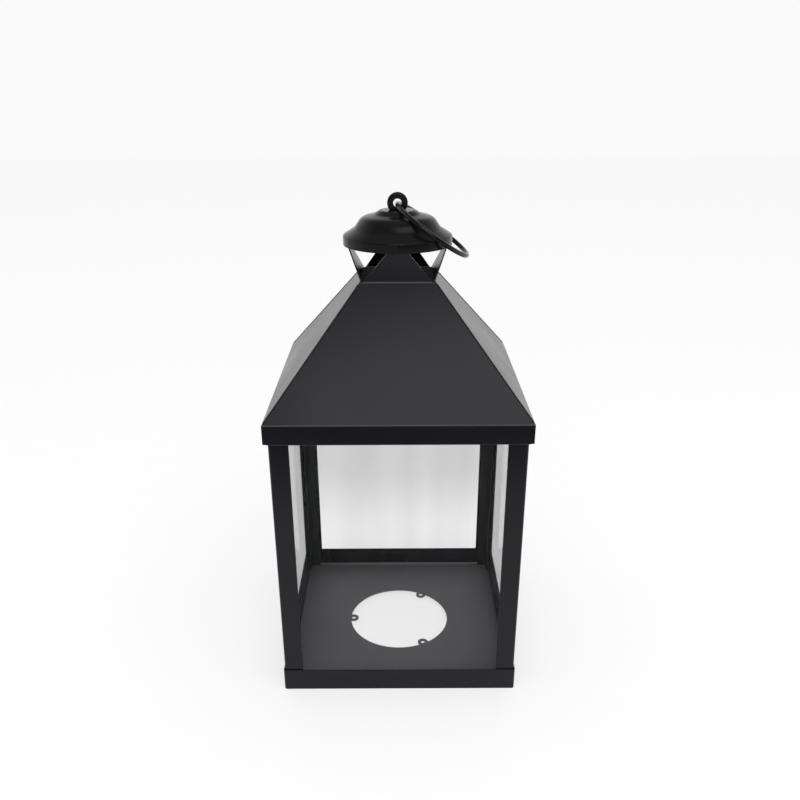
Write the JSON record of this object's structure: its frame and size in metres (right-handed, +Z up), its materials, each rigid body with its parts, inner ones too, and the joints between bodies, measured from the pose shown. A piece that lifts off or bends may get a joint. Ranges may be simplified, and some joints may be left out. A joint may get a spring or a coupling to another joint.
{
  "type": "candle lantern",
  "caption": "Square black sheet-metal lantern with glass panes, hipped roof, bell-shaped vent cap and a swinging wire ring, open through its base for a candle unit.",
  "frame": {"origin": "middle of the base on the surface that the lantern stands on", "axes": "+Z up, the front looks to -Y, the ring leans to +X"},
  "size_m": [0.1634, 0.1634, 0.323],
  "materials": {
    "black_paint": "satin",
    "clear_glass": "clear",
    "zinc_steel": "satin",
    "black_wire": "satin"
  },
  "bodies": {
    "lantern": {"base_rim": "black_paint", "base_floor": "black_paint", "top_band": "black_paint", "post_front_left": "black_paint", "corner_strip_front_left": "black_paint", "post_front_right": "black_paint", "corner_strip_front_right": "black_paint", "post_back_right": "black_paint", "corner_strip_back_right": "black_paint", "post_back_left": "black_paint", "corner_strip_back_left": "black_paint", "glass_front": "clear_glass", "roof_front": "black_paint", "glass_right": "clear_glass", "roof_right": "black_paint", "glass_back": "clear_glass", "roof_back": "black_paint", "glass_left": "clear_glass", "roof_left": "black_paint", "vent_cap": "black_paint", "hanger_eye": "black_paint", "hanger_washer": "zinc_steel", "hanger_nut": "zinc_steel"},
    "ring": {"hanging_ring": "black_wire"}
  },
  "joints": [
    {"name": "ring_swing", "type": "hinge", "parent": "lantern", "child": "ring", "pos_m": [0, 0, 0.3156], "axis": [0, -1, 0], "range_deg": [0, 250]}
  ]
}
